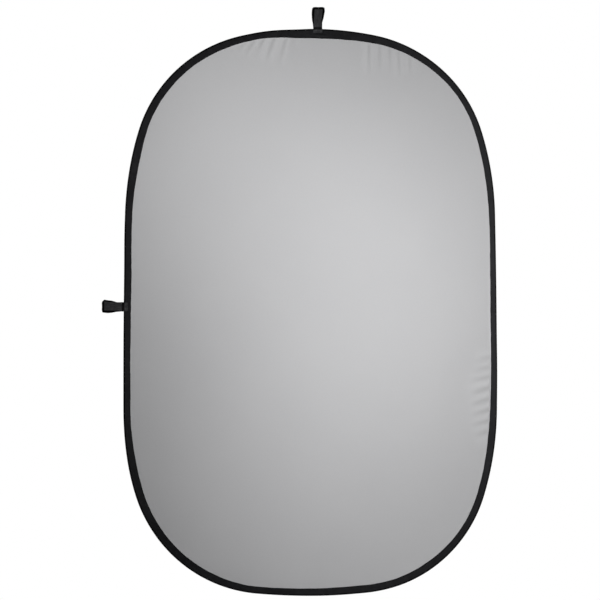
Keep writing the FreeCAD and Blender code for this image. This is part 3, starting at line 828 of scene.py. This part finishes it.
def make_cloth(face, half, route, side, folds, material, nodes):
    """One half of a layer: rings of points from its edge inwards, fine near the edge."""
    third = math.ceil(route.length / EDGE_STEP / 3)
    distance = np.linspace(0, route.length, 3 * third + 1)
    points, normals = route.at(distance)
    edge = points - CLOTH_INSET * normals
    lip = lip_depth(points)
    reach = np.linalg.norm(edge, axis=1)

    fine = np.linspace(1, FINE_SHARE, 1 + math.ceil((1 - FINE_SHARE) * HALF_HEIGHT / EDGE_STEP))
    coarse = np.linspace(FINE_SHARE, 0, 1 + math.ceil(FINE_SHARE * HALF_HEIGHT / COARSE_STEP))
    coarse = coarse[1:-1]

    def rings(shares, pick):
        flat = shares[:, None, None] * edge[None, pick]
        from_rim = CLOTH_INSET + (1 - shares[:, None]) * reach[None, pick]
        return flat, from_rim - lip[None, pick]

    every = np.arange(len(distance))
    thirds = every[::3]
    fine_flat, fine_past = rings(fine, every)
    coarse_flat, coarse_past = rings(coarse, thirds)
    flat = np.concatenate([fine_flat.reshape(-1, 2), coarse_flat.reshape(-1, 2), [[0, 0]]])
    past_lip = np.concatenate([fine_past.ravel(), coarse_past.ravel(), [HALF_WIDTH]])
    x, z = flat[:, 0], flat[:, 1]

    free = smooth(past_lip / FREE_REACH)
    around = np.arctan2(z, x) * PUCKER_RADIUS
    pucker = 0.5 + 0.5 * ripple(around, 21 + side, 6, *PUCKER_WAVES)
    pucker *= np.exp(-np.clip(past_lip, 0, 1) / PUCKER_FADE)
    roll = hump(past_lip - ROLL_PLACE, ROLL_WIDTH)
    folded, fold_shade_and_highlight = folds_at(x, z, folds)
    stand_off = free * folded + PUCKER_HEIGHT * free * pucker + ROLL_HEIGHT * roll
    y = side * (CLOTH_STAND_OFF + stand_off)

    faces = grid_faces(len(fine), len(every), wrap=False)
    first_coarse = len(fine) * len(every)
    above = (len(fine) - 1) * len(every)
    for step in range(len(thirds) - 1):
        outer = [above + 3 * step + k for k in range(4)]
        faces.append((*outer, first_coarse + step + 1, first_coarse + step))
    faces += [
        tuple(first_coarse + corner for corner in face)
        for face in grid_faces(len(coarse), len(thirds), wrap=False)
    ]
    centre = len(flat) - 1
    innermost = centre - len(thirds)
    faces += [(innermost + step, innermost + step + 1, centre) for step in range(len(thirds) - 1)]
    if side > 0:
        faces = [tuple(reversed(face)) for face in faces]

    piece = make_piece(f"{face}_cloth_{half}", to_row(x, y, z), faces, np.stack([x, z], -1))
    # A painted highlight in a pale line beside the lip, strongest towards the lower right.
    stretch = hump(np.clip(past_lip - LIP_HIGHLIGHT_PLACE, 0, 1), LIP_HIGHLIGHT_WIDTH)
    lip_highlight = hump(turn_between(bearings_of(flat), LIP_HIGHLIGHT_BEARING), LIP_HIGHLIGHT_SPREAD)
    lip_highlight = LIP_HIGHLIGHT_LEAST + (1 - LIP_HIGHLIGHT_LEAST) * lip_highlight
    set_attribute(piece, "stretch", lip_highlight * stretch * (past_lip > -2 * MM))
    # Painted shade in the furrows and a painted highlight on the crests.
    set_attribute(piece, "fold", free * fold_shade_and_highlight)
    crisp_border(piece)
    finish_piece(piece, material, nodes)
    bend_with(piece)
    thickness = piece.modifiers.new("thickness", "SOLIDIFY")
    thickness.thickness = CLOTH_THICKNESS
    thickness.offset = 0


for half, route in HALVES:
    names = ("upper", "middle") if half == "top" else ("lower",)
    front_nodes = [f"front_cloth_{name}" for name in names]
    back_nodes = [f"back_cloth_{name}" for name in names]
    make_cloth("front", half, route, -1, FRONT_FOLDS, GREY_CLOTH, front_nodes)
    make_cloth("back", half, route, 1, BACK_FOLDS, WHITE_CLOTH, back_nodes)


# ------------ stitches

def bead(length, thick, height, rings=5, sides=6):
    """A stitch: a short rounded bead of thread lying along +X, its ends dipping into the tape."""
    points = []
    for ring in range(rings):
        share = ring / (rings - 1)
        along = (share - 0.5) * length
        fullness = math.sqrt(max(0.06, 1 - (2 * share - 1) ** 2))
        lift = height * (fullness - 0.55)
        radius = 0.5 * thick * fullness
        for side in range(sides):
            angle = 2 * math.pi * side / sides
            points.append((along, radius * math.cos(angle), lift + radius * math.sin(angle)))
    return np.array(points), rod_faces(rings, sides)


def scatter(name, shape, centres, along, across, side):
    """Copies of one bead in one mesh, each with its own centre and directions."""
    points, faces = shape
    placed = (
        centres[:, None]
        + points[None, :, 0, None] * along[:, None]
        + points[None, :, 1, None] * across[:, None]
    )
    placed[..., 1] += side * points[:, 2]
    count = len(points)
    all_faces = [
        tuple(copy * count + corner for corner in face)
        for copy in range(len(centres))
        for face in faces
    ]
    uv = np.tile(points[:, :2], (len(centres), 1))
    return make_piece(name, placed.reshape(-1, 3), all_faces, uv, outward=True)


STITCH_PITCH = 3.6 * MM
STITCH_LENGTH = 3.1 * MM
STITCH_HEIGHT = 0.25 * MM
THREAD_THICK = 0.55 * MM
# How far stitches stray from their line, and their lean and its spread in radians.
STITCH_STRAY = 0.08 * MM
STITCH_LEAN = (0.06, 0.03)
# How far a stitch lies above the tape.
THREAD_LIFT = 0.02 * MM


def make_seam(face, half, route, side, nodes):
    count = int(route.length / STITCH_PITCH)
    distance = (np.arange(count) + 0.5) * route.length / count
    points, normals = route.at(distance)
    draw = np.random.default_rng(5 + side)
    inset = lip_depth(points) - SEAM_FROM_LIP + draw.normal(0, STITCH_STRAY, count)
    lean = draw.normal(*STITCH_LEAN, count)
    place = points - inset[:, None] * normals
    zero = np.zeros(count)
    along_rim = np.stack([-normals[:, 1], zero, normals[:, 0]], 1)
    out_of_rim = np.stack([normals[:, 0], zero, normals[:, 1]], 1)
    cos, sin = np.cos(lean)[:, None], np.sin(lean)[:, None]
    along = along_rim * cos + out_of_rim * sin
    across = out_of_rim * cos - along_rim * sin
    y = np.full(count, side * (LIP_HALF_THICKNESS + THREAD_LIFT))
    centres = to_row(place[:, 0], y, place[:, 1])
    shape = bead(STITCH_LENGTH, THREAD_THICK, STITCH_HEIGHT)
    piece = scatter(f"{face}_stitches_{half}", shape, centres, along, across, side)
    finish_piece(piece, BLACK_THREAD, nodes)
    bend_with(piece)


for half, route in HALVES:
    names = ("upper", "left", "right") if half == "top" else ("lower",)
    make_seam("front", half, route, -1, [f"front_seam_{name}" for name in names])
    make_seam("back", half, route, 1, [f"back_seam_{name}" for name in names])


# ------------ hanging loops

WEB_THICKNESS = 1.3 * MM
# How far outside the rim a neck lies, and how far beyond it the eye's end begins.
NECK_RISE = 6.2 * MM
EYE_END = 54 * MM
# The webbing's middle line from a tail's foot, over the neck, to the eye's end: half the loop,
# as distance out of the panel's middle plane and height above the neck.
HALF_LOOP = [
    (3.55, -20.2), (4.25, -15.0), (4.95, -9.6), (4.4, -6.3), (2.5, -3.3), (1.0, -0.9), (0.95, 2.2),
    (1.5, 8.0), (2.9, 18.0), (4.6, 31.0), (6.0, 44.0), (6.55, 52.4), (5.9, 58.3), (3.4, 61.6),
    (0.0, 62.4),
]


def smooth_line(points, count):
    """A Catmull-Rom curve through points, sampled evenly along its length."""
    points = np.asarray(points, float)
    padded = np.concatenate([[2 * points[0] - points[1]], points, [2 * points[-1] - points[-2]]])
    dense = []
    for step in range(len(points) - 1):
        a, b, c, d = padded[step : step + 4]
        t = np.linspace(0, 1, 24, endpoint=False)[:, None]
        square = (2 * a - 5 * b + 4 * c - d) * t**2
        cube = (3 * b - a - 3 * c + d) * t**3
        dense.append(0.5 * (2 * b + (c - a) * t + square + cube))
    dense = np.concatenate([*dense, points[-1:]])
    run = np.concatenate([[0], np.cumsum(np.linalg.norm(np.diff(dense, axis=0), axis=1))])
    even = np.linspace(0, run[-1], count)
    return np.stack([np.interp(even, run, dense[:, k]) for k in range(dense.shape[1])], 1), even


LOOP_ROWS = 150
LOOP_COLUMNS = 33
# The selvedges curl inwards over the outer share of the width, less towards the neck.
CURL_DEPTH = 2.1 * MM
CURL_SHARE = 0.34
CURL_REACH = 16 * MM
# The webbing waves gently, puckers where it is sewn down, and has broad ribs.
WAVE_HEIGHT = 0.35 * MM
WAVE_RUN = 9 * MM
TAIL_PUCKER = 0.45 * MM
PUCKER_RUN = 3 * MM
RIB_HEIGHT = 0.12 * MM
RIB_COUNT = 9
# Painted shade darkens a crease across the neck: place above it and half width.
NECK_CREASE = -4.9 * MM
NECK_CREASE_WIDTH = 4.2 * MM
# How pale the speckles on the sewn tails are, and how much dust streaks the free eye.
TAIL_SPECKLE = 0.45
EYE_DUST = 0.16
# A distance from the neck back along the loop.
NECK_REACH = 3 * MM


def make_loop(prefix, neck, along, width_way, left_edge, right_edge, shaded_borders, bodies):
    """A doubled length of webbing. along points to the loop's free end, and width_way along its
    width, to the right seen from the front with the free end up.

    left_edge and right_edge are (height above the neck, half width) pairs. The borders argument
    gives the widths of the painted shade over the curled selvedges at the left and the right.
    """
    half = np.array(HALF_LOOP) * MM
    front = half * np.array([-1, 1])
    line = np.concatenate([front, half[-2::-1]])
    middle, run = smooth_line(line, LOOP_ROWS)
    tangent = np.gradient(middle, axis=0)
    tangent /= np.linalg.norm(tangent, axis=1)[:, None]
    outward = np.stack([-tangent[:, 1], tangent[:, 0]], 1)
    height, run = middle[:, 1:], run[:, None]
    share = np.linspace(-1, 1, LOOP_COLUMNS)[None]

    def edge(pairs):
        heights, widths = np.array(sorted(pairs)).T * MM
        return np.interp(height, heights, widths)

    limit = np.where(share < 0, edge(left_edge), edge(right_edge))
    span = limit * share
    in_eye = smooth(height / CURL_REACH)
    near_edge = np.clip((np.abs(share) - 1 + CURL_SHARE) / CURL_SHARE, 0, 1)
    curl = -CURL_DEPTH * near_edge**2 * in_eye
    wave = WAVE_HEIGHT * np.sin(share * 7 + 1.3) * np.sin(run / WAVE_RUN + 0.6)
    tail = smooth(-(height + 6 * MM) / (4 * MM))
    pucker = TAIL_PUCKER * tail * np.sin(share * 11 + run / PUCKER_RUN)
    ribs = RIB_HEIGHT * np.cos(share * math.pi * RIB_COUNT) * (1 - near_edge)
    offset = curl + wave * in_eye + np.abs(pucker) * 0.5 + ribs
    skins = []
    for lift in (WEB_THICKNESS / 2, -WEB_THICKNESS / 2):
        bow = offset + lift * (1 - 0.35 * near_edge**4)
        y = middle[:, None, 0] + outward[:, None, 0] * bow
        up = middle[:, None, 1] + outward[:, None, 1] * bow
        skin = neck + span[..., None] * width_way + up[..., None] * along
        skin[..., 1] += y
        skins.append(skin)
    ring = np.concatenate([skins[0], skins[1][:, ::-1]], 1)
    faces = shell_faces(LOOP_ROWS, 2 * LOOP_COLUMNS)
    spans = both_skins(span)
    uv = np.stack([np.broadcast_to(run, spans.shape), spans], -1).reshape(-1, 2)
    piece = make_piece(f"{prefix}_loop_webbing", ring.reshape(-1, 3), faces, uv, outward=True)

    # Painted shade over the curled selvedges, in the crease across the neck and on the eye's turned
    # end.
    opening = smooth((height + 2 * MM) / (48 * MM))
    border = np.where(share < 0, *shaded_borders) * MM * (0.35 + 0.65 * opening)
    selvedge_shade = smooth((np.abs(span) - limit + border) / (1.4 * MM)) * in_eye
    crease = hump(height - NECK_CREASE, NECK_CREASE_WIDTH, 4) * (0.78 + 0.22 * share**2)
    end = smooth((height - EYE_END + 0.5 * MM) / (3 * MM))
    set_attribute(piece, "painted_shade", both_skins(np.maximum(np.maximum(selvedge_shade, crease), end)))
    # Paler speckles over the sewn tails, and streaks of dust over the free eye.
    chance = np.random.default_rng(31)
    thirds = LOOP_COLUMNS // 3
    speckle = np.kron(chance.random((LOOP_ROWS // 3, thirds)), np.ones((3, 3)))
    streaks = np.kron(chance.random((LOOP_ROWS // 10, thirds)), np.ones((10, 3)))
    speckled_tail = tail * (1 - np.abs(share) ** 5) * smooth((height + 20 * MM) / (4 * MM))
    dust_and_sheen = TAIL_SPECKLE * speckled_tail * speckle**2 + EYE_DUST * (1 - tail) * streaks**2
    set_attribute(piece, "dust_and_sheen", both_skins(dust_and_sheen))
    finish_piece(piece, WEBBING, (f"{prefix}_hanging_loop", f"{prefix}_loop_tail"))
    end = tuple(neck - along * NECK_REACH)
    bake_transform(piece)


# Each tack's half width, its zigzag strokes and its plain stitches, with the way each runs.
TACK_HALF_WIDTH = 11.5 * MM
TACK_STROKES = 26
ZIGZAG_WAY = (0.25, 0.97)
PLAIN_STITCHES = 8
PLAIN_WAY = (1.0, 0.03)
# Depths below the neck of the zigzag and of the plain rows.
ZIGZAG_DEPTH = NECK_RISE + 10.9 * MM
PLAIN_DEPTHS = (NECK_RISE + 4 * MM, NECK_RISE + 6.6 * MM)
# The tail's outer face: its distance from the middle plane at its hip and at its foot, how far
# the foot is below the hip, and the hip below the neck.
TAIL_HIP = 5.65 * MM
TAIL_FOOT = 4.25 * MM
TAIL_FALL = 11.5 * MM
HIP_DEPTH = NECK_RISE + 2.5 * MM
TACK_THREAD_LIFT = 0.12 * MM


def make_tack(prefix, face, side, neck, along, width_way, body):
    """A bar of close zigzag stitches across a tail, over two rows of plain ones."""
    centres, ways = [], []
    for index, place in enumerate(np.linspace(-1, 1, TACK_STROKES)):
        slant = 1 if index % 2 else -1
        centres.append((place * TACK_HALF_WIDTH, ZIGZAG_DEPTH))
        ways.append((slant * ZIGZAG_WAY[0], ZIGZAG_WAY[1]))
    for depth in PLAIN_DEPTHS:
        for place in np.linspace(-1, 1, PLAIN_STITCHES):
            centres.append((place * TACK_HALF_WIDTH, depth))
            ways.append(PLAIN_WAY)
    centres, ways = np.array(centres), np.array(ways)
    fall = (centres[:, 1] - HIP_DEPTH) / TAIL_FALL
    y = side * (TAIL_HIP + (TAIL_FOOT - TAIL_HIP) * fall + TACK_THREAD_LIFT)
    middle = neck + centres[:, :1] * width_way - centres[:, 1:] * along
    middle[:, 1] += y
    run = ways[:, :1] * width_way - ways[:, 1:] * along
    beside = ways[:, 1:] * width_way + ways[:, :1] * along
    shape = bead(2.9 * MM, 0.6 * MM, 0.3 * MM)
    name = f"{prefix}_loop_{face}_tack"
    piece = scatter(name, shape, middle, run, beside, side)
    finish_piece(piece, BLACK_THREAD, (name,))
    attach(piece, body)


UP = np.array([0.0, 0.0, 1.0])
LEFT = np.array([-1.0, 0.0, 0.0])
RIGHT = np.array([1.0, 0.0, 0.0])
LOOPS = [
    {
        "prefix": "top",
        "neck": TOP_NECK,
        "along": UP,
        "width_way": RIGHT,
        "left_edge": [
            (-21, 15), (-9, 15.5), (-5, 15.2), (3, 16), (12, 17), (18, 18.4), (28, 19.5),
            (45, 20.2), (56, 19), (62, 17.5),
        ],
        "right_edge": [
            (-21, 14.5), (-10, 15.2), (-5, 13.2), (3, 13.3), (14, 13.5), (20, 15.4), (28, 17.6),
            (39, 19.8), (49, 21.6), (60, 21),
        ],
        "shaded_borders": (9.6, 7.8),
        "bodies": ("top_loop", "upper"),
    },
    {
        "prefix": "side",
        "neck": SIDE_NECK,
        "along": LEFT,
        "width_way": UP,
        "left_edge": [
            (-21, 13.5), (-6, 15.5), (0, 15.2), (18, 16.7), (32, 19.5), (44, 20.4), (61, 18.6),
        ],
        "right_edge": [
            (-21, 13.5), (0, 14.5), (14, 14), (31, 19), (44, 20.5), (55, 22.2), (61, 18.5),
        ],
        "shaded_borders": (8.8, 6),
        "bodies": ("side_loop", "middle"),
    },
]
for loop in LOOPS:
    make_loop(**loop)
    lie = loop["neck"], loop["along"], loop["width_way"]
    for face, side in (("front", -1), ("back", 1)):
        make_tack(loop["prefix"], face, side, *lie, loop["bodies"][1])


# ------------ studio

def make_floor():
    """A plain pale floor under the hanging panel."""
    reach = 2.2
    drop = 0.35
    x = float(PANEL_MIDDLE[0])
    z = float(PANEL_FOOT) - drop
    turns = ((-1, -1), (1, -1), (1, 1), (-1, 1))
    corners = [(x + reach * across, reach * back, z) for across, back in turns]
    floor = make_piece("floor", corners, [(0, 1, 2, 3)])
    material, tree, shader = new_material("floor_paper")
    place = tree.nodes.new("ShaderNodeTexCoord")
    grain = noise(tree, place.outputs["Object"], 30, 4)
    paper = mix_colour(tree, grain, (0.86, 0.86, 0.86), (0.9, 0.9, 0.9))
    tree.links.new(paper, shader.inputs["Base Color"])
    set_inputs(shader, {"Roughness": 0.95, "Specular IOR Level": 0.1})
    floor.data.materials.append(material)


# Lamps on the grey side: place right of and above the panel's middle, the point of the panel's
# plane each is aimed at, half angle of its soft-edged beam in radians, and power in watts.
FRONT_LAMPS = [
    ("front_left", (-2.2, 2.2), (0.4, 1.05), 0.345, 580),
    ("front_low", (-1.95, -1.35), (1.25, -0.4), 0.355, 415),
    ("front_right", (0.43, 1.44), (-0.17, 0.03), 0.23, 295),
]
FRONT_DISTANCE = 4.0
# Broad soft lamps on the white side: place, size across, and power in watts.
REAR_LAMPS = [
    ("rear_high", (1.2, 1.6), 1.8, 88),
    ("rear_low", (-1.4, 0.2), 1.8, 66),
]
REAR_DISTANCE = 4.0
# Light from all round, how much more comes from overhead, and the power that gathers it there.
AMBIENT = 0.01
OVERHEAD = 2.0
OVERHEAD_FOCUS = 8


def make_world():
    """Soft light from all round, strongest from overhead, before a plain white surround."""
    world = bpy.data.worlds.new("studio")
    world.use_nodes = True
    tree = world.node_tree
    towards = tree.nodes.new("ShaderNodeTexCoord")
    parts = tree.nodes.new("ShaderNodeSeparateXYZ")
    tree.links.new(towards.outputs["Generated"], parts.inputs["Vector"])
    above = math_node(tree, "MAXIMUM", parts.outputs["Z"], 0)
    overhead = math_node(tree, "POWER", above, OVERHEAD_FOCUS)
    strength = math_node(tree, "MULTIPLY_ADD", overhead, OVERHEAD, AMBIENT)
    around = tree.nodes["Background"]
    set_inputs(around, {"Color": (1, 1, 1, 1)})
    tree.links.new(strength, around.inputs["Strength"])
    surround = tree.nodes.new("ShaderNodeBackground")
    set_inputs(surround, {"Color": (1, 1, 1, 1), "Strength": 1.0})
    ray = tree.nodes.new("ShaderNodeLightPath")
    mix = tree.nodes.new("ShaderNodeMixShader")
    tree.links.new(ray.outputs["Is Camera Ray"], mix.inputs[0])
    tree.links.new(around.outputs[0], mix.inputs[1])
    tree.links.new(surround.outputs[0], mix.inputs[2])
    tree.links.new(mix.outputs[0], tree.nodes["World Output"].inputs["Surface"])
    bpy.context.scene.world = world


def place_lamp(name, light, place, target):
    lamp = bpy.data.objects.new(name, light)
    lamp.location = place
    lamp.rotation_euler = Vector(target - place).to_track_quat("-Z", "Y").to_euler()
    lamp.visible_camera = False
    bpy.context.scene.collection.objects.link(lamp)


def make_lights():
    for name, (across, up), (aim_across, aim_up), half_angle, power in FRONT_LAMPS:
        light = bpy.data.lights.new(name, "SPOT")
        light.energy = power
        light.spot_size = 2 * half_angle
        light.spot_blend = 1.0
        light.shadow_soft_size = 0.25
        place = PANEL_MIDDLE + np.array([across, -FRONT_DISTANCE, up])
        place_lamp(name, light, place, PANEL_MIDDLE + np.array([aim_across, 0, aim_up]))
    for name, (across, up), size, power in REAR_LAMPS:
        light = bpy.data.lights.new(name, "AREA")
        light.shape = "DISK"
        light.size = size
        light.energy = power
        place_lamp(name, light, PANEL_MIDDLE + np.array([across, REAR_DISTANCE, up]), PANEL_MIDDLE)


def make_camera():
    """Square on to the grey front, a little left of and above the panel's middle."""
    view_width = 1.9044
    distance = 8.0
    camera = bpy.data.cameras.new("camera")
    camera.sensor_width = 36
    camera.lens = camera.sensor_width * distance / view_width
    camera.clip_end = 100
    eye = bpy.data.objects.new("camera", camera)
    eye.location = PANEL_MIDDLE + np.array([-0.0322, -distance, 0.0392])
    eye.rotation_euler = (math.pi / 2, 0, 0)
    bpy.context.scene.collection.objects.link(eye)
    bpy.context.scene.camera = eye


make_floor()
make_world()
make_lights()
make_camera()
bpy.context.scene.view_settings.view_transform = "Standard"
bpy.context.scene.view_settings.look = "None"
